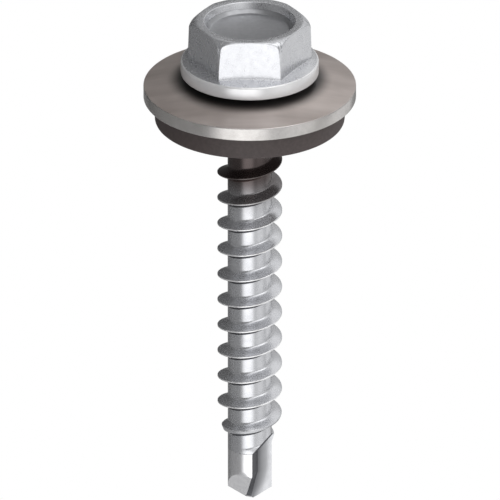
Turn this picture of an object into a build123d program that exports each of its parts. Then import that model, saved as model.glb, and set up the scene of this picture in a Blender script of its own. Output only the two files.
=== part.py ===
"""Self drilling screw: recessed hexagon flange head, captive sealing washer, thread, drill point.

Millimetres. The screw stands on its head: Z runs from the head to the drill point, and the
origin is the centre of the head's end face. The thread is right handed.
"""

import math
import os

from build123d import *

# Head: a cold formed hexagon with a round recess in its end
across_flats = 8.0
head_height = 4.2
end_face_inset = 0.07
corner_relief = 0.07
corner_draft = 2.0
end_ring_width = 0.53
recess_wall_depth = 0.5
recess_draft = 0.2
recess_foot_width = 0.22
recess_depth = 0.78

# Flange under the hexagon
flange_overhang = 0.55
flange_thickness = 1.0
flange_cone_angle = 10.0
flange_edge_chamfer = 0.1

# Shank
length = 35.5
point_length = 4.4
core_radius = 1.66
neck_radius = 1.95
neck_overrun = 0.38
neck_taper = 0.4
seam_chamfer = 0.03

# Thread
thread_radius = 2.44
thread_pitch = 2.12
thread_crest = 0.1
thread_flank_angle = 24.0
thread_root_sink = 0.15
thread_lead_in = 0.31
thread_fade_in = 1.3
thread_fade_out = 2.4
thread_end_gap = 0.4
thread_sweep_turns = 4
fade_foot_share = 0.1
fade_top_share = 1.4

# Drill point: two flutes, a thinned web and two flat relief facets
point_angle = 118.0
relief_angle = 56.0
tip_web = 0.12
heel_angle = 263.5
web_radius = 0.75
web_angle = 214.0
thinning_length = 2.5
tip_web_radius = 0.15
tip_web_angle = 233.0
tip_heel_radius = 0.28
tip_heel_angle = 21.0
runout_slope = 1.27
runout_lean = 0.55
cutter_margin = 0.3
cutter_overshoot = 2

# Sealing washer: a dished plate with a rubber ring bonded under it
plate_radius = 7.95
plate_hole_clearance = 0.8
plate_thickness = 1.0
plate_dish = 1.0
seal_inset = 0.75
seal_taper = 0.1
seal_below_rim = 1.9
seal_edge_chamfer = 0.18
seal_bore_clearance = 0.05
seal_bore_chamfer = 0.5
washer_play = 0.02

# Heights above the head's end face
bearing_z = head_height
plate_z = bearing_z + washer_play
rim_z = plate_z + plate_dish
rim_foot_z = rim_z + plate_thickness
seal_foot_z = rim_foot_z + seal_below_rim
neck_end_z = seal_foot_z + neck_overrun
core_z = neck_end_z + neck_taper
tip_z = bearing_z + length
seam_z = tip_z - point_length


def polar(radius, angle):
    """Point at a radius and an angle in degrees."""
    return Vector(radius * math.cos(math.radians(angle)), radius * math.sin(math.radians(angle)))


# Thread: a trapezoid swept along a helix, a few turns at a time, which keeps its facets few. A cone
# at each end lets it rise out of the core and sink back into it
helix_z = neck_end_z - thread_lead_in
ridge_foot = core_radius - thread_root_sink
flank_slope = math.tan(math.radians(thread_flank_angle))
ridge_half_foot = thread_crest / 2 + flank_slope * (thread_radius - ridge_foot)
fade_in = Vector(thread_radius - core_radius, thread_fade_in)
fade_out = Vector(thread_radius - core_radius, -thread_fade_out)
rise = Vector(core_radius, core_z)
sink = Vector(core_radius, seam_z - thread_end_gap)
sweep_height = thread_sweep_turns * thread_pitch
sweep_count = math.ceil((seam_z - helix_z) / sweep_height)
with BuildPart() as thread_turns:
    with BuildLine():
        Helix(thread_pitch, sweep_height, core_radius, center=(0, 0, helix_z))
    with BuildSketch(Plane.XZ):
        with BuildLine():
            Polyline(
                (ridge_foot, helix_z - ridge_half_foot),
                (thread_radius, helix_z - thread_crest / 2),
                (thread_radius, helix_z + thread_crest / 2),
                (ridge_foot, helix_z + ridge_half_foot),
                close=True,
            )
        make_face()
    sweep(is_frenet=True)
with BuildPart() as thread:
    with Locations([(0, 0, sweep_height * index) for index in range(sweep_count)]):
        add(thread_turns.part)
    with BuildSketch(Plane.XZ):
        with BuildLine():
            Polyline(
                (0, (rise - fade_in * fade_foot_share).Y),
                rise - fade_in * fade_foot_share,
                rise + fade_in * fade_top_share,
                sink + fade_out * fade_top_share,
                sink - fade_out * fade_foot_share,
                (0, (sink - fade_out * fade_foot_share).Y),
                close=True,
            )
        make_face()
    revolve(axis=Axis.Z, mode=Mode.INTERSECT)

# Flute cutter: a straight groove with a flat heel wall. Near the tip the groove's corner moves to
# the axis and the wall turns with it, which thins the web. A slanting plane ends the groove towards
# the head
cutter_reach = 2 * core_radius
stations = [
    (seam_z - (runout_slope + runout_lean) * cutter_reach, 0),
    (tip_z - thinning_length, 0),
    (tip_z + cutter_margin, 1 + cutter_margin / thinning_length),
]
with BuildPart() as flute:
    for height, share in stations:
        corner = polar(web_radius, web_angle) * (1 - share) + polar(tip_web_radius, tip_web_angle) * share
        heel = polar(core_radius, heel_angle) * (1 - share) + polar(tip_heel_radius, tip_heel_angle) * share
        heel_end = corner * (1 - cutter_overshoot) + heel * cutter_overshoot
        lip = Vector(-core_radius, -tip_web / 2)
        with BuildSketch(Plane.XY.offset(height)):
            with BuildLine():
                Polyline(
                    lip,
                    (-cutter_reach, lip.Y),
                    (-cutter_reach, -cutter_reach),
                    (heel_end.X, -cutter_reach),
                    heel_end,
                    corner,
                )
                TangentArc(lip, corner, tangent=(1, 0))
            make_face()
    loft(ruled=True)
    runout = polar(core_radius, heel_angle)
    split(
        bisect_by=Plane((runout.X, runout.Y, seam_z), z_dir=(-runout_slope, -runout_lean, 1)),
        keep=Keep.TOP,
    )

# Screw body: head, flange, neck, shank and thread, formed as one piece
with BuildPart() as screw_body:
    with BuildSketch(Plane.XY):
        RegularPolygon(across_flats / 2, 6, major_radius=False)
    extrude(amount=bearing_z - flange_thickness / 2)
    # The crown rounds the hexagon's end edge, and a slight draft narrows its corners
    end_face_radius = across_flats / 2 - end_face_inset
    hex_corner_radius = across_flats / math.sqrt(3)
    crown_radius = hex_corner_radius - corner_relief - end_face_radius
    with BuildSketch(Plane.XZ):
        with BuildLine():
            crown = CenterArc((end_face_radius, crown_radius), crown_radius, -90, 90 - corner_draft)
            side_height = bearing_z - (crown @ 1).Y
            side_growth = side_height * math.tan(math.radians(corner_draft))
            Polyline(
                crown @ 1,
                crown @ 1 + Vector(side_growth, side_height),
                (0, bearing_z),
                (0, 0),
                crown @ 0,
            )
        make_face()
    revolve(axis=Axis.Z, mode=Mode.INTERSECT)
    # Recess: drafted wall, then a steep foot down to the floor
    recess_radius = end_face_radius - end_ring_width
    wall_foot_radius = recess_radius - recess_draft
    with BuildSketch(Plane.XZ):
        with BuildLine():
            Polyline(
                (0, 0),
                (recess_radius, 0),
                (wall_foot_radius, recess_wall_depth),
                (wall_foot_radius - recess_foot_width, recess_depth),
                (0, recess_depth),
                close=True,
            )
        make_face()
    revolve(axis=Axis.Z, mode=Mode.SUBTRACT)
    # Flange, neck and core
    flange_radius = hex_corner_radius + flange_overhang
    flange_cone_height = flange_radius * math.tan(math.radians(flange_cone_angle))
    with BuildSketch(Plane.XZ) as shank_section:
        with BuildLine():
            Polyline(
                (0, bearing_z - flange_thickness - flange_cone_height),
                (flange_radius, bearing_z - flange_thickness),
                (flange_radius, bearing_z),
                (neck_radius, bearing_z),
                (neck_radius, neck_end_z),
                (core_radius, core_z),
                (core_radius, seam_z - seam_chamfer),
                (core_radius - seam_chamfer, seam_z),
                (0, seam_z),
                close=True,
            )
        make_face()
        chamfer(shank_section.vertices().group_by(Axis.X)[-1], flange_edge_chamfer)
    revolve(axis=Axis.Z)
    add(thread.part)
    with PolarLocations(0, 2):
        add(flute.part, mode=Mode.SUBTRACT)

# Drill point: hardened piece welded to the shank's end at the seam
with BuildPart() as drill_point:
    with BuildSketch(Plane.XZ):
        with BuildLine():
            Polyline(
                (0, seam_z),
                (core_radius - seam_chamfer, seam_z),
                (core_radius, seam_z + seam_chamfer),
                (core_radius, tip_z),
                (0, tip_z),
                close=True,
            )
        make_face()
    revolve(axis=Axis.Z)
    lip_slope = 1 / math.tan(math.radians(point_angle / 2))
    relief_slope = math.tan(math.radians(relief_angle))
    for side in (1, -1):
        relief = Plane((0, 0, tip_z), z_dir=(side * lip_slope, -side * relief_slope, 1))
        split(bisect_by=relief, keep=Keep.BOTTOM)
    with PolarLocations(0, 2):
        add(flute.part, mode=Mode.SUBTRACT)

# Washer plate: dished so that its hole's edge bears on the flange
plate_hole_radius = neck_radius + plate_hole_clearance
with BuildPart() as washer_plate:
    with BuildSketch(Plane.XZ):
        with BuildLine():
            Polyline(
                (plate_hole_radius, plate_z),
                (plate_radius, rim_z),
                (plate_radius, rim_foot_z),
                (plate_hole_radius, plate_z + plate_thickness),
                close=True,
            )
        make_face()
    revolve(axis=Axis.Z)

# Sealing ring: follows the plate's dish and grips the neck. The chamfer of its bore leads it over
# the thread, which is wider and keeps the washer on the screw
seal_radius = plate_radius - seal_inset
seal_bore_radius = neck_radius + seal_bore_clearance
seal_top_z = rim_foot_z - plate_dish * seal_inset / (plate_radius - plate_hole_radius)
with BuildPart() as sealing_ring:
    with BuildSketch(Plane.XZ) as seal_section:
        with BuildLine():
            Polyline(
                (seal_bore_radius, plate_z + plate_thickness),
                (plate_hole_radius, plate_z + plate_thickness),
                (seal_radius, seal_top_z),
                (seal_radius - seal_taper, seal_foot_z),
                (seal_bore_radius, seal_foot_z),
                close=True,
            )
        make_face()
        foot_corners = seal_section.vertices().group_by(Axis.Y)[-1].sort_by(Axis.X)
        chamfer(foot_corners[0], seal_bore_chamfer)
        chamfer(foot_corners[-1], seal_edge_chamfer)
    revolve(axis=Axis.Z)

os.makedirs("parts", exist_ok=True)

screw_body.part.label = "screw_body"
export_step(screw_body.part, "parts/screw_body.step")

drill_point.part.label = "drill_point"
export_step(drill_point.part, "parts/drill_point.step")

washer_plate.part.label = "washer_plate"
export_step(washer_plate.part, "parts/washer_plate.step")

sealing_ring.part.label = "sealing_ring"
export_step(sealing_ring.part, "parts/sealing_ring.step")
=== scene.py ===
"""Self drilling screw: recessed hexagon flange head, captive sealing washer, thread, drill point.

Shapes are worked out in millimetres and put into the meshes in metres. The screw stands on its
head: Z runs from the head to the drill point, and the photograph is taken from -Y with -Z up.
"""

import math

import bmesh
import bpy
import numpy as np
from mathutils import Matrix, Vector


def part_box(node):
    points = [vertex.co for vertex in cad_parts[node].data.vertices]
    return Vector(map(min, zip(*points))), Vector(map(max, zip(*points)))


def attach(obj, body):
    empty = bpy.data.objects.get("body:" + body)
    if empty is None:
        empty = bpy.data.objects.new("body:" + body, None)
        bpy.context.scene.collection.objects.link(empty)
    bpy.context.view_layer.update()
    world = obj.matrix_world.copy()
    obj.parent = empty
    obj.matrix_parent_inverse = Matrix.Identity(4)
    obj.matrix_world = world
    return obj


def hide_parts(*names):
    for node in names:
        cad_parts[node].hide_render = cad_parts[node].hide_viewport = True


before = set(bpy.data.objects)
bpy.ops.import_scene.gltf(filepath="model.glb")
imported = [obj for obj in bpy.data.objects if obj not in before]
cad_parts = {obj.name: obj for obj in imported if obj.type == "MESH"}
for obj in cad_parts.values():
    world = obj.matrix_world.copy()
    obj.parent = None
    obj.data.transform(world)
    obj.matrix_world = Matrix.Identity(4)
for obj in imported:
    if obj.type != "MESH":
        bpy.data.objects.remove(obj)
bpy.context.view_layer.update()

# Screw body: one piece of stainless wire, cold formed. The head is struck in a hexagon die, which
# leaves a round recess and a crowned end edge, and a coarse thread is rolled on the shank.


def reach(node):
    """Outer radius, lowest and highest point of a CAD node, in millimetres."""
    low, high = 1000 * np.array(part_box(node))
    return high[0], low[2], high[2]


flange_radius, _, seam_z = reach("screw_body")
core_radius, _, tip_z = reach("drill_point")
across_flats = 8.0
corner_rounding = 0.05
end_face_inset = 0.07
corner_relief = 0.07
corner_draft = math.radians(2)
end_ring_width = 0.53
recess_wall_depth = 0.5
recess_draft = 0.2
recess_foot_width = 0.22
recess_depth = 0.78
bearing_z = 4.2
flange_thickness = 1.0
flange_cone = math.tan(math.radians(10))
neck_radius = 1.95
neck_end_z = 8.5
core_z = 8.9
seam_groove = 0.03
thread_radius = 2.44
thread_pitch = 2.12
thread_z = 8.19
thread_crest = 0.1
thread_end_z = seam_z - 0.4
flank_rise = 1 / math.tan(math.radians(24))
fade_in_rise = 0.6
fade_out_rise = 0.325
crest_fillet = 0.05
root_fillet = 0.3
fillet_end_gap = 0.2
fillet_fade = 0.5

# How far the rounding of each edge reaches along its sides
recess_edges = (0.08, 0.08, 0.05)
crown_edge = 0.07
head_edges = (0.06, 0.12, 0.1, 0.3)


def rounded(corners, reaches, columns=1, steps=6):
    """Rows of a profile of (radius, height) corners, each a number or one value a column.

    A parabola rounds each inner corner P from its reach before it, A, to its reach after it, B:
    (1 - t)^2 A + 2 t (1 - t) P + t^2 B.
    """
    places = [np.stack(np.broadcast_arrays(*corner, np.zeros(columns))[:2]) for corner in corners]
    t = np.linspace(0, 1, steps)[:, None, None]
    rows = [places[0][None]]
    for before, corner, after, size in zip(places, places[1:], places[2:], reaches):
        ways = (before - corner, after - corner)
        start, end = (corner + way * size / np.hypot(*way) for way in ways)
        rows.append((1 - t) ** 2 * start + 2 * t * (1 - t) * corner + t**2 * end)
    rows.append(places[-1][None])
    return np.concatenate(rows)


def turned(profile, angles):
    """Grid of points from a profile turned about Z: (r cos a, r sin a, z)."""
    radius, height = np.broadcast_arrays(profile[:, 0], profile[:, 1])
    points = np.broadcast_arrays(radius * np.cos(angles), radius * np.sin(angles), height)
    return np.stack(points, -1)


def skin(name, grids, slots=(0, 0, 0)):
    """One closed mesh object from grids of points that touch, welded there, with faces outwards.
    A grid's faces take its material slot, one for all or one a face."""
    points, faces, finishes, first = [], [], [], 0
    for grid, slot in zip(grids, slots):
        rows, columns = grid.shape[:2]
        index = first + np.arange(rows * columns).reshape(rows, columns)
        quads = np.stack([index[:-1, :-1], index[1:, :-1], index[1:, 1:], index[:-1, 1:]], -1)
        points.append(grid.reshape(-1, 3))
        faces.append(quads.reshape(-1, 4))
        finishes.append(np.broadcast_to(slot, (rows - 1, columns - 1)).ravel())
        first += rows * columns
    mesh = bpy.data.meshes.new(name)
    mesh.from_pydata(np.concatenate(points) / 1000, [], np.concatenate(faces))
    mesh.polygons.foreach_set("material_index", np.concatenate(finishes).astype(np.int32))
    work = bmesh.new()
    work.from_mesh(mesh)
    bmesh.ops.remove_doubles(work, verts=work.verts, dist=2e-7)
    bmesh.ops.dissolve_degenerate(work, edges=work.edges, dist=1e-8)
    bmesh.ops.recalc_face_normals(work, faces=work.faces)
    work.to_mesh(mesh)
    work.free()
    mesh.shade_smooth()
    mesh.set_sharp_from_angle(angle=math.radians(35))
    piece = bpy.data.objects.new(name, mesh)
    bpy.context.scene.collection.objects.link(piece)
    return piece


# Columns crowd towards the hexagon's corners, where the crowned edge leaves a slim facet
from_corner = np.radians(30) * np.linspace(0, 1, 17) ** 2
sector = np.concatenate([from_corner, np.radians(60) - from_corner[-2:0:-1]])
turn = np.append((np.radians(60) * np.arange(6)[:, None] + sector).ravel(), 2 * math.pi)

# Hexagon with rounded corners. At the angle d from a corner its radius is a / cos(30 - d) on the
# flat, and c cos d + sqrt(q^2 - c^2 sin^2 d) on the far side of the corner's own small circle
off_corner = np.abs((turn + np.radians(30)) % np.radians(60) - np.radians(30))
flat = across_flats / 2 / np.cos(np.radians(30) - off_corner)
circle_place = (across_flats / 2 - corner_rounding) / math.cos(math.radians(30))
under_root = np.maximum(corner_rounding**2 - (circle_place * np.sin(off_corner)) ** 2, 0)
circle = circle_place * np.cos(off_corner) + np.sqrt(under_root)
circle_end = circle_place + corner_rounding * math.cos(math.radians(30))
hexagon = np.where(off_corner < math.atan2(corner_rounding / 2, circle_end), circle, flat)

# Crown: an arc from the end face, then a slight draft, up to where they meet the hexagon
end_face_radius = across_flats / 2 - end_face_inset
crown_radius = across_flats / math.sqrt(3) - corner_relief - end_face_radius
arc_end = math.pi / 2 - corner_draft
arc_stop = np.arcsin(np.clip((hexagon - end_face_radius) / crown_radius, 0, math.sin(arc_end)))
past_reach = np.maximum(hexagon - end_face_radius - crown_radius * math.sin(arc_end), 0)
draft_stop = past_reach / math.sin(corner_draft)
crown_length = crown_radius * arc_stop + draft_stop
crown_end_z = crown_radius * (1 - np.cos(arc_stop)) + draft_stop * math.cos(corner_draft)
edge_reach = np.minimum(crown_edge, 0.7 * crown_length)
along = np.linspace(0, 1, 14)[:, None] * (crown_length - edge_reach)
arc = np.minimum(along / crown_radius, arc_end)
past_arc = along - crown_radius * arc
crown_r = end_face_radius + crown_radius * np.sin(arc) + past_arc * math.sin(corner_draft)
crown_z = crown_radius * (1 - np.cos(arc)) + past_arc * math.cos(corner_draft)

recess_radius = end_face_radius - end_ring_width
recess = rounded(
    [
        (0, recess_depth),
        (recess_radius - recess_draft - recess_foot_width, recess_depth),
        (recess_radius - recess_draft, recess_wall_depth),
        (recess_radius, 0),
        (end_face_radius, 0),
    ],
    recess_edges,
    len(turn),
)
flange_top_z = bearing_z - flange_thickness
sides = rounded(
    [
        (crown_r[-1], crown_z[-1]),
        (hexagon, crown_end_z),
        (hexagon, flange_top_z - (flange_radius - hexagon) * flange_cone),
        (flange_radius, flange_top_z),
        (flange_radius, bearing_z),
        (neck_radius, bearing_z),
        (neck_radius, neck_end_z),
    ],
    (edge_reach, *head_edges),
    len(turn),
    steps=7,
)
head = turned(np.concatenate([recess, np.stack([crown_r, crown_z], 1), sides]), turn)

# Shank: rows follow the helix, and stand closest at the crest and at the foot of its flanks
from_crest = np.array([0, 0.04, 0.055, 0.08, 0.15, 0.24, 0.32, 0.38, 0.43, 0.49, 0.56, 0.66, 0.84])
rows = np.concatenate([-from_crest[:0:-1], from_crest, [thread_pitch / 2]])
crests = thread_pitch * np.arange(-1, math.ceil((seam_z - neck_end_z) / thread_pitch) + 2)
lead = thread_z + thread_pitch * turn / (2 * math.pi)
height = (crests[:, None] + rows).reshape(-1, 1) + lead
height = np.clip(height, neck_end_z, seam_z - seam_groove)


def smooth_max(a, b, width):
    """Larger of a and b, with a parabola of the given width where they cross."""
    share = np.clip(0.5 + (a - b) / (2 * width), 0, 1)
    return b + (a - b) * share + width * share * (1 - share)


# The ridge falls from the crest at the flank's slope and rises and fades along a cone at each end,
# and the shank is the larger of the ridge and the core
neck = np.interp(height, (neck_end_z, core_z), (neck_radius, core_radius))
past_crest = (height - lead + thread_pitch / 2) % thread_pitch - thread_pitch / 2
flank = thread_radius - (np.abs(past_crest) - thread_crest / 2) * flank_rise
ridge = -smooth_max(-flank, np.full_like(flank, -thread_radius), crest_fillet)
fade_in = core_radius + (height - core_z) * fade_in_rise
fade_out = core_radius + (thread_end_z - height) * fade_out_rise
ridge = -smooth_max(-ridge, -np.minimum(fade_in, fade_out), crest_fillet)
fillet = root_fillet * np.clip((seam_z - fillet_end_gap - height) / fillet_fade, 0.02, 1)
radius = smooth_max(neck, ridge, fillet)
radius[height <= neck_end_z] = neck_radius
radius[height >= seam_z - seam_groove] = core_radius
shank = np.stack([radius * np.cos(turn), radius * np.sin(turn), height], -1)
end = [(core_radius, seam_z - seam_groove), (core_radius - seam_groove, seam_z), (0, seam_z)]
end = turned(np.array(end)[..., None], turn)

# Each face takes its metal's slot: a painted highlight on the crest and the flange's edge, painted
# shade on the recess's floor, a painted shadow line along the thread's root, and as formed
# elsewhere. The head's rows of faces count from the middle of the recess
formed, highlighted, recess_shaded, root_shadowed = range(4)
floor_end_row = 11
edge_first_row = 49
edge_end_row = 61
crest_depth = 0.06
root_from = 0.37
root_to = 0.57
least_ridge = 0.3
row = np.arange(len(head) - 1)[:, None]
on_edge = (row >= edge_first_row) & (row < edge_end_row)
head_finish = np.select([row < floor_end_row, on_edge], [recess_shaded, highlighted], formed)
at_crest = radius > thread_radius - crest_depth
at_root = (past_crest > root_from) & (past_crest < root_to)
at_root &= np.minimum(fade_in, fade_out) > core_radius + least_ridge
on_crest, in_root = (points[1:, 1:] & points[:-1, 1:] for points in (at_crest, at_root))
shank_finish = np.select([on_crest, in_root], [highlighted, root_shadowed], formed)
screw_formed = skin("screw_formed", [head, shank, end], (head_finish, shank_finish, formed))


def srgb(hex_code):
    """Linear RGBA of an sRGB hex colour."""
    code = np.array([int(hex_code[i : i + 2], 16) for i in (1, 3, 5)]) / 255
    linear = np.where(code <= 0.04045, code / 12.92, ((code + 0.055) / 1.055) ** 2.4)
    return (*linear, 1.0)


def add(tree, kind, inputs=None, **settings):
    """New node: settings are its properties, and an input takes a value or another socket."""
    node = tree.nodes.new(kind)
    for name, value in settings.items():
        setattr(node, name, value)
    for name, value in (inputs or {}).items():
        if isinstance(value, bpy.types.NodeSocket):
            tree.links.new(value, node.inputs[name])
        else:
            node.inputs[name].default_value = value
    return node


def blank(name):
    """New material, its emptied node tree and its Object coordinates."""
    material = bpy.data.materials.new(name)
    material.use_nodes = True
    material.node_tree.nodes.clear()
    place = add(material.node_tree, "ShaderNodeTexCoord").outputs["Object"]
    return material, material.node_tree, place


def steel(name, colour, shade, roughness, grain_mm, drawn=(1, 1, 1), metallic=0.75):
    """Bare steel: its colour drifts to a shade over a few millimetres. Its grain, drawn out along
    an axis with a share under 1, varies the roughness by a tenth and lies a micrometre deep. Partly
    metallic, it has the satin of fine scratches, which catch the light from all sides."""
    material, tree, place = blank(name)
    drift_mm = 4.0
    wide = {"Vector": place, "Scale": 1000 / drift_mm, "Detail": 2.0}
    drift = add(tree, "ShaderNodeTexNoise", wide).outputs[0]
    mapped = add(tree, "ShaderNodeMapping", {"Vector": place, "Scale": drawn}).outputs[0]
    fine = {"Vector": mapped, "Scale": 1000 / grain_mm, "Detail": 3.0}
    grain = add(tree, "ShaderNodeTexNoise", fine).outputs[0]
    both = add(tree, "ShaderNodeMath", {0: drift, 1: grain}, operation="ADD").outputs[0]
    spread = {"Value": both, "From Min": 0.7, "From Max": 1.3}
    share = add(tree, "ShaderNodeMapRange", spread).outputs[0]
    shades = {0: share, 6: srgb(colour), 7: srgb(shade)}
    tint = add(tree, "ShaderNodeMix", shades, data_type="RGBA").outputs[2]
    tenth = {"From Min": 0.3, "From Max": 0.7, "To Min": roughness * 0.9, "To Max": roughness * 1.1}
    gloss = add(tree, "ShaderNodeMapRange", {"Value": grain, **tenth}).outputs[0]
    depth = {"Height": grain, "Strength": 0.05, "Distance": 1e-6}
    relief = add(tree, "ShaderNodeBump", depth).outputs[0]
    surface = {"Base Color": tint, "Roughness": gloss, "Normal": relief, "Metallic": metallic}
    shader = add(tree, "ShaderNodeBsdfPrincipled", surface)
    add(tree, "ShaderNodeOutputMaterial", {"Surface": shader.outputs[0]})
    return material


def finish(piece, material, body, node):
    """Gives a piece its material and its place on the frame."""
    piece.data.materials.append(material)
    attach(piece, body)
    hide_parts(node)


# Cold formed stainless steel: bright, with a soft gloss from the die
formed_steel = steel("cold_formed_stainless_steel", "#DADBDE", "#D1D2D6", 0.26, 0.5)
finish(screw_formed, formed_steel, "screw", "screw_body")

# Painted highlight: a lighter, less metallic steel on the thread's crest and the flange's edge
highlight_steel = steel("stainless_edge_painted_highlight", "#F6F6F7", "#EFEFF1", 0.22, 0.5, metallic=0.4)
screw_formed.data.materials.append(highlight_steel)

# Painted shade: a darker, rougher steel on the recess's floor
recess_shade_steel = steel("stainless_floor_painted_shade", "#B2B3B6", "#A5A6A9", 0.36, 0.4)
screw_formed.data.materials.append(recess_shade_steel)

# Painted shadow: a dark line along the thread's root, on the side of the tip
root_shadow_steel = steel("stainless_root_painted_shadow", "#5C5D61", "#505155", 0.4, 0.5)
screw_formed.data.materials.append(root_shadow_steel)


def shade_over(material, share, colour):
    """Lays a colour over a material, as strong as its share, from 0 to 1, to paint shade or shadow.
    """
    tree = material.node_tree
    base = tree.nodes["Principled BSDF"].inputs["Base Color"]
    layers = {0: share, 6: base.links[0].from_socket, 7: srgb(colour)}
    mix = add(tree, "ShaderNodeMix", layers, data_type="RGBA")
    tree.links.new(mix.outputs[2], base)


# Painted shadow of the washer: dark brown over the neck, fading over the first turns
washer_shadow_from_z = 5.0
washer_shadow_fade_z = 12.2
washer_shadow_end_z = 15.8
darkest_shadow = 0.93
fade = {"From Min": washer_shadow_fade_z / 1000, "From Max": washer_shadow_end_z / 1000}
fade = {**fade, "To Min": darkest_shadow, "To Max": 0.0}
smooth = {"interpolation_type": "SMOOTHSTEP"}
for metal in (formed_steel, highlight_steel, root_shadow_steel):
    tree = metal.node_tree
    place = add(tree, "ShaderNodeTexCoord").outputs["Object"]
    along = add(tree, "ShaderNodeSeparateXYZ", {0: place}).outputs["Z"]
    washer_shadow = add(tree, "ShaderNodeMapRange", {"Value": along, **fade}, **smooth).outputs[0]
    head_end = {0: along, 1: washer_shadow_from_z / 1000}
    under_head = add(tree, "ShaderNodeMath", head_end, operation="GREATER_THAN").outputs[0]
    washer_shadow = add(tree, "ShaderNodeMath", {0: washer_shadow, 1: under_head}, operation="MULTIPLY").outputs[0]
    shade_over(metal, washer_shadow, "#3C2C28")

# Drill point: a short hardened carbon steel drill, welded to the shank's end. Two flat facets
# relieve its lips.
half_point_angle = math.radians(59)
relief_angle = math.radians(56)
lip_slope = 1 / math.tan(half_point_angle)
relief_slope = math.tan(relief_angle)

# Roof of the two facets: z falls from the tip by |x / tan 59 - y tan 56|. Its columns start on the
# ridge
around = math.atan2(lip_slope, relief_slope) + np.linspace(0, 2 * math.pi, 129)
outward = core_radius * np.linspace(0, 1, 9)[:, None]
drop = np.abs(lip_slope * outward * np.cos(around) - relief_slope * outward * np.sin(around))
roof = np.stack([outward * np.cos(around), outward * np.sin(around), tip_z - drop], -1)
down = np.linspace(0, 1, 7)[:, None]
wall = roof[-1] * (1 - down[..., None]) + down[..., None] * roof[-1] * (1, 1, 0)
wall[..., 2] += down * (seam_z + seam_groove)
end = [(core_radius, seam_z + seam_groove), (core_radius - seam_groove, seam_z), (0, seam_z)]
drill_ground = skin("drill_ground", [roof, wall, turned(np.array(end)[..., None], around)])

# Hardened, ground and plated carbon steel: a little brighter than the shank
ground_steel = steel("hardened_ground_steel", "#EDEDEF", "#E3E3E6", 0.24, 0.5)
finish(drill_ground, ground_steel, "screw", "drill_point")

# Flutes: two straight grooves, ground from the point up over the weld. Near the tip each groove's
# corner moves to the axis and its heel wall turns with it, which thins the web.
flute_reach = 2 * core_radius
heel_angle = math.radians(263.5)
web_radius = 0.75
web_angle = math.radians(214)
thinning_z = tip_z - 2.5
tip_web_radius = 0.15
tip_web_angle = math.radians(233)
tip_heel_radius = 0.28
tip_heel_angle = math.radians(21)
tip_web = 0.12
runout_slopes = np.array([1.27, 0.55])
runout_width = 0.14
cutter_overshoot = 2
past_tip = 0.12


def polar(radius, angle):
    """Point at a radius and an angle."""
    return radius * np.array([math.cos(angle), math.sin(angle)])


# Sections of the groove go up to past the tip. From the lip an arc leaves along X to the corner,
# and its centre is straight below the lip
lip = np.array([-core_radius, -tip_web / 2])
thinned = np.append([0, 0], np.linspace(0, 1 + past_tip, 29))[:, None]
full = 1 - thinned
corner = polar(web_radius, web_angle) * full + polar(tip_web_radius, tip_web_angle) * thinned
heel = polar(core_radius, heel_angle) * full + polar(tip_heel_radius, tip_heel_angle) * thinned
step = corner - lip
arc_radius = (step**2).sum(1) / (-2 * step[:, 1])
swept = 2 * np.arctan2(-step[:, 1], step[:, 0])[:, None] * np.linspace(0, 1, 25)
arc = lip + arc_radius[:, None, None] * np.stack([np.sin(swept), np.cos(swept) - 1], -1)
out = np.linspace(0, cutter_overshoot, 11)[1:, None]
heel_wall = corner[:, None] + (heel - corner)[:, None] * out
box = np.array([(-flute_reach, -flute_reach), (-flute_reach, lip[1])])
box = np.broadcast_to(box, (len(thinned), 2, 2))
under_heel = np.stack([heel_wall[:, -1, 0], box[:, 0, 1]], -1)[:, None]
groove = np.concatenate([arc, heel_wall, under_heel, box, arc[:, :1]], 1)
groove_z = thinning_z + thinned * (tip_z - thinning_z) + 0 * groove[..., 0]
# The first section lies on the slanting plane that ends the groove above the weld, and the second
# stands a little off it
groove_z[0] = seam_z + (groove[0] - polar(core_radius, heel_angle)) @ runout_slopes
groove_z[1] = groove_z[0] + runout_width
groove = np.concatenate([groove, groove_z[..., None]], -1)
lids = [np.stack([g, np.broadcast_to(g[:-1].mean(0), g.shape)]) for g in (groove[0], groove[-1])]

# Slot 1, a rougher steel painted nearly black as painted shade, is on the groove's end and on its
# heel wall
heel_shade_faces = np.zeros((len(groove) - 1, groove.shape[1] - 1), int)
first_wall_face = arc.shape[1] - 1
heel_shade_faces[0] = heel_shade_faces[:, first_wall_face : first_wall_face + heel_wall.shape[1]] = 1

# Milled carbon steel: the cut goes through the plating, down to darker metal with a duller gloss.
# The cutter's side leaves the heel wall and the groove's end rough, and they are painted nearly
# black as painted shade
milled_steel = steel("milled_carbon_steel", "#CACBCE", "#BEBFC2", 0.32, 0.5)
heel_shade_steel = steel("milled_carbon_steel_painted_shade", "#636468", "#595A5E", 0.45, 0.3)

# Painted shade in each groove's corner, which fades out within a millimetre of it
corner_shade_from = 0.1
corner_shade_to = 0.8
tree = milled_steel.node_tree
place = add(tree, "ShaderNodeTexCoord").outputs["Object"]
along = add(tree, "ShaderNodeSeparateXYZ", {0: place}).outputs["Z"]
flat = add(tree, "ShaderNodeVectorMath", {0: place, 1: (1, 1, 0)}, operation="MULTIPLY").outputs[0]
toward_tip = {"Value": along, "From Min": thinning_z / 1000, "From Max": tip_z / 1000}
toward_tip = add(tree, "ShaderNodeMapRange", toward_tip).outputs[0]
at_web = (*polar(web_radius, web_angle) / 1000, 0)
at_tip = (*polar(tip_web_radius, tip_web_angle) / 1000, 0)
ends = {0: toward_tip, 4: at_web, 5: at_tip}
near = add(tree, "ShaderNodeMix", ends, data_type="VECTOR").outputs[1]
far = add(tree, "ShaderNodeVectorMath", {0: near, "Scale": -1.0}, operation="SCALE").outputs[0]
off_near, off_far = (
    add(tree, "ShaderNodeVectorMath", {0: flat, 1: line}, operation="DISTANCE").outputs["Value"]
    for line in (near, far)
)
nearer = {0: off_near, 1: off_far}
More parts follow.
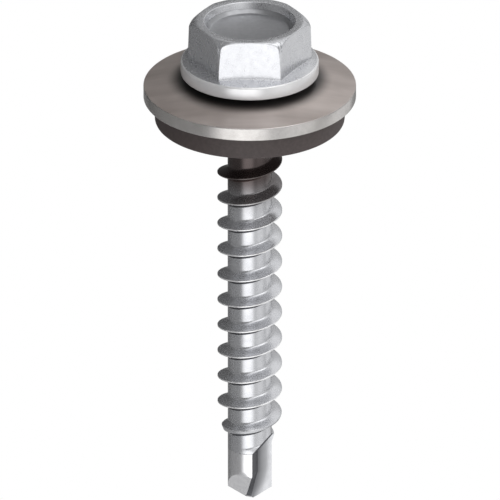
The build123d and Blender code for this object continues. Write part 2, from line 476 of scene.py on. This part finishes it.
off_corner = add(tree, "ShaderNodeMath", nearer, operation="MINIMUM").outputs[0]
fade = {"From Min": corner_shade_from / 1000, "From Max": corner_shade_to / 1000, "To Min": 0.7, "To Max": 0.0}
corner_shade = add(tree, "ShaderNodeMapRange", {"Value": off_corner, **fade}).outputs[0]
shade_over(milled_steel, corner_shade, "#4C4D51")

# The cutter takes its grooves out of both pieces, and the cut faces keep its metals
for half_turn in (1, -1):
    surfaces = [grid * (half_turn, half_turn, 1) for grid in (groove, *lids)]
    cutter = skin("flute_cutter", surfaces, (heel_shade_faces, 1, 0))
    cutter.data.materials.append(milled_steel)
    cutter.data.materials.append(heel_shade_steel)
    for piece in (screw_formed, drill_ground):
        cut = piece.modifiers.new("flute", "BOOLEAN")
        cut.object = cutter
        cut.solver = "EXACT"
        cut.material_mode = "TRANSFER"
        bpy.context.view_layer.update()
        cut_piece = piece.evaluated_get(bpy.context.evaluated_depsgraph_get())
        mesh = bpy.data.meshes.new_from_object(cut_piece)
        piece.modifiers.clear()
        piece.data = mesh
        mesh.name = piece.name
        mesh.shade_smooth()
        mesh.set_sharp_from_angle(angle=math.radians(35))
    bpy.data.objects.remove(cutter)

# Washer plate: stamped from rolled stainless sheet and dished, so that its hole's edge bears on the
# flange.
plate_radius, plate_z, plate_foot_z = reach("washer_plate")
hole_radius = 2.75
plate_thickness = 1.0
plate_edges = (0.06, 0.08, 0.08, 0.06)
lathe = np.linspace(0, 2 * math.pi, 181)
mid_hole = (hole_radius, plate_z + plate_thickness / 2)
plate_section = rounded(
    [
        mid_hole,
        (hole_radius, plate_z),
        (plate_radius, plate_foot_z - plate_thickness),
        (plate_radius, plate_foot_z),
        (hole_radius, plate_z + plate_thickness),
        mid_hole,
    ],
    plate_edges,
)
rim_row = 9
rim_end_row = 16
plate = turned(plate_section, lathe)
rim = plate[rim_row : rim_end_row + 1]
plate_grids = [plate[: rim_row + 1], rim, plate[rim_end_row:]]
plate_stamped = skin("plate_stamped", plate_grids, (0, 1, 0))

# Rolled stainless sheet: satin, a warm grey, with streaks from the rolls along X
rolled_steel = steel("rolled_stainless_sheet", "#C9BFBA", "#A79C97", 0.32, 1.6, (0.12, 1, 1), 0.4)
finish(plate_stamped, rolled_steel, "washer", "washer_plate")

# Its sheared rim is painted brighter, as a painted highlight
rim_highlight_steel = steel("stainless_rim_painted_highlight", "#D4D1CF", "#C2BFBC", 0.24, 0.8)
plate_stamped.data.materials.append(rim_highlight_steel)

# Painted shadow: the plate darkens under the flange and just outside it
flange_shadow_from = 5.0
flange_shadow_to = 6.3
tree = rolled_steel.node_tree
place = add(tree, "ShaderNodeTexCoord").outputs["Object"]
flat = add(tree, "ShaderNodeVectorMath", {0: place, 1: (1, 1, 0)}, operation="MULTIPLY").outputs[0]
off_axis = add(tree, "ShaderNodeVectorMath", {0: flat}, operation="LENGTH").outputs["Value"]
fade = {"From Min": flange_shadow_from / 1000, "From Max": flange_shadow_to / 1000, "To Min": 0.95, "To Max": 0.0}
flange_shadow = add(tree, "ShaderNodeMapRange", {"Value": off_axis, **fade}, **smooth).outputs[0]
shade_over(rolled_steel, flange_shadow, "#1C1A1A")

# Sealing ring: rubber moulded onto the plate's underside. It follows the dish, grips the neck and
# keeps the washer on the screw.
seal_radius, _, seal_foot_z = reach("sealing_ring")
seal_taper = 0.1
bore_radius = 2.0
bore_lead_in = 0.5
seal_edges = (0.03, 0.25, 0.1, 0.1, 0.03)
dish_slope = (plate_foot_z - plate_z - plate_thickness) / (plate_radius - hole_radius)
seal_top = (hole_radius, plate_z + plate_thickness)
seal_section = rounded(
    [
        seal_top,
        (seal_radius, plate_foot_z - (plate_radius - seal_radius) * dish_slope),
        (seal_radius - seal_taper, seal_foot_z),
        (bore_radius + bore_lead_in, seal_foot_z),
        (bore_radius, seal_foot_z - bore_lead_in),
        (bore_radius, plate_z + plate_thickness),
        seal_top,
    ],
    seal_edges,
)
seal_moulded = skin("seal_moulded", [turned(seal_section, lathe)])

# Moulded EPDM rubber: dull grey brown, with the mould's fine grain, drawn as coarse as 0.3 mm so
# that it shows
rubber, tree, place = blank("moulded_epdm_rubber")
rubber_grain_mm = 0.3
fine = {"Vector": place, "Scale": 1000 / rubber_grain_mm, "Detail": 3.0}
grain = add(tree, "ShaderNodeTexNoise", fine).outputs[0]
shades = {0: grain, 6: srgb("#3F3736"), 7: srgb("#564C4B")}
tint = add(tree, "ShaderNodeMix", shades, data_type="RGBA").outputs[2]
depth = {"Height": grain, "Strength": 0.3, "Distance": 1e-5}
relief = add(tree, "ShaderNodeBump", depth).outputs[0]
surface = {"Base Color": tint, "Roughness": 0.6, "Normal": relief}
shader = add(tree, "ShaderNodeBsdfPrincipled", surface)
add(tree, "ShaderNodeOutputMaterial", {"Surface": shader.outputs[0]})
finish(seal_moulded, rubber, "washer", "sealing_ring")

# Floor: a plain pale sheet under the head. It shows only from above, so the camera, which looks
# at the head's end from below it, sees through it.
floor_reach = 0.4
floor_corners = floor_reach * np.array([(-1, -1, 0), (1, -1, 0), (1, 1, 0), (-1, 1, 0)])
floor_mesh = bpy.data.meshes.new("floor")
floor_mesh.from_pydata(floor_corners, [], [(0, 1, 2, 3)])
floor = bpy.data.objects.new("floor", floor_mesh)
bpy.context.scene.collection.objects.link(floor)
paper, tree, _ = blank("matt_paper")
ray = add(tree, "ShaderNodeLightPath").outputs["Is Camera Ray"]
under = add(tree, "ShaderNodeNewGeometry").outputs["Backfacing"]
shown = add(tree, "ShaderNodeMath", {0: ray, 1: under}, operation="SUBTRACT", use_clamp=True)
clear = add(tree, "ShaderNodeBsdfTransparent")
sheet = add(tree, "ShaderNodeBsdfDiffuse", {"Color": srgb("#F4F3F1")})
views = {0: shown.outputs[0], 1: clear.outputs[0], 2: sheet.outputs[0]}
mix = add(tree, "ShaderNodeMixShader", views)
add(tree, "ShaderNodeOutputMaterial", {"Surface": mix.outputs[0]})
floor.data.materials.append(paper)

# Light tent: a round tent of grey cloth about the screw, with lamps behind parts of it. It is
# bright in front and to the photograph's right, and dark to its left, which gives the metal its
# two sides.
tent_radius = 450
rise = np.linspace(-math.pi / 2, math.pi / 2, 33)
globe = tent_radius * np.stack([np.cos(rise), np.sin(rise)], -1)[..., None]
tent = skin("light_tent", [turned(globe, np.linspace(0, 2 * math.pi, 65))])
cloth, tree, place = blank("tent_cloth")
cloth.cycles.emission_sampling = "NONE"
outwards = add(tree, "ShaderNodeVectorMath", {0: place}, operation="NORMALIZE").outputs[0]


def lit(direction, inner, outer, level):
    """Brightness of a lit part of the cloth: a level up to the inner angle from its direction,
    which falls to nothing at the outer angle, both in degrees."""
    direction = -np.array(direction) / np.linalg.norm(direction)
    toward = add(tree, "ShaderNodeVectorMath", {0: outwards, 1: direction}, operation="DOT_PRODUCT")
    edges = {"From Min": math.cos(math.radians(outer)), "From Max": math.cos(math.radians(inner))}
    toward = {"Value": toward.outputs["Value"], **edges, "To Max": level}
    return add(tree, "ShaderNodeMapRange", toward, interpolation_type="SMOOTHSTEP").outputs[0]


# Directions as the photograph shows the screw: to its right, towards its camera and up
lit_parts = [
    lit((-0.15, 0.88, -0.43), 14, 32, 1.1),
    lit((0.45, 0.65, -0.45), 35, 75, 0.55),
    lit((0.75, 0.5, -0.43), 8, 22, 0.25),
    lit((0.8, -0.45, -0.4), 12, 28, 0.65),
    lit((-0.75, 0.3, -0.43), 30, 65, 0.12),
    lit((0.25, 0.48, 0.85), 18, 42, 1.4),
    lit((0.7, 0.0, 0.7), 20, 45, 0.6),
    lit((-0.65, 0.1, 0.75), 20, 45, 0.1),
    lit((0.2, -0.62, 0.75), 12, 30, 0.55),
    lit((0.55, -0.8, 0.25), 15, 38, 0.45),
    lit((0.0, 0.15, -1.0), 15, 40, 0.3),
    lit((0.0, -0.6, -0.8), 15, 45, 0.2),
]
brightness = 0.1
for part in lit_parts:
    brightness = add(tree, "ShaderNodeMath", {0: part, 1: brightness}, operation="ADD").outputs[0]
glow = add(tree, "ShaderNodeEmission", {"Strength": brightness})
add(tree, "ShaderNodeOutputMaterial", {"Surface": glow.outputs[0]})
tent.data.materials.append(cloth)
tent.visible_camera = False
tent.visible_shadow = False

# White background, as the camera sees it. Its light also comes through the cloth, which casts no
# shadow, at the lower level
world = bpy.data.worlds.new("white_sweep")
bpy.context.scene.world = world
world.use_nodes = True
tree = world.node_tree
tree.nodes.clear()
ray = add(tree, "ShaderNodeLightPath").outputs
seen = ray["Is Camera Ray"]
for kind in ("Is Glossy Ray", "Is Transmission Ray"):
    seen = add(tree, "ShaderNodeMath", {0: seen, 1: ray[kind]}, operation="MAXIMUM").outputs[0]
level = add(tree, "ShaderNodeMapRange", {"Value": seen, "To Min": 0.6, "To Max": 1.0}).outputs[0]
backdrop = add(tree, "ShaderNodeBackground", {"Color": srgb("#FFFFFF"), "Strength": level})
add(tree, "ShaderNodeOutputWorld", {"Surface": backdrop.outputs[0]})

# Camera: far off with a long lens, 25.5 degrees off the plane square to the screw, on the head's
# side. It is rolled so that the head is up, as in the photograph, 13.3 pixels to the millimetre.
middle = np.array([0.0, 0.0, 0.01895])
distance = 1.0
frame_width_mm = 37.594
off_centre_mm = 0.25 / 13.3
tilt = math.radians(25.5)
back = np.array([0.0, -math.cos(tilt), -math.sin(tilt)])
up = np.array([0.0, math.sin(tilt), -math.cos(tilt)])
right = np.cross(up, back)
camera_data = bpy.data.cameras.new("camera")
camera_data.sensor_width = 36.0
camera_data.lens = camera_data.sensor_width * 1000 * distance / frame_width_mm
camera_data.clip_start = 0.1
camera_data.clip_end = 10.0
camera = bpy.data.objects.new("camera", camera_data)
pose = np.eye(4)
pose[:3, :3] = np.stack([right, up, back], 1)
pose[:3, 3] = middle + back * distance + right * off_centre_mm / 1000
camera.matrix_world = Matrix(pose.tolist())
bpy.context.scene.collection.objects.link(camera)
bpy.context.scene.camera = camera

bpy.context.scene.view_settings.view_transform = "Standard"
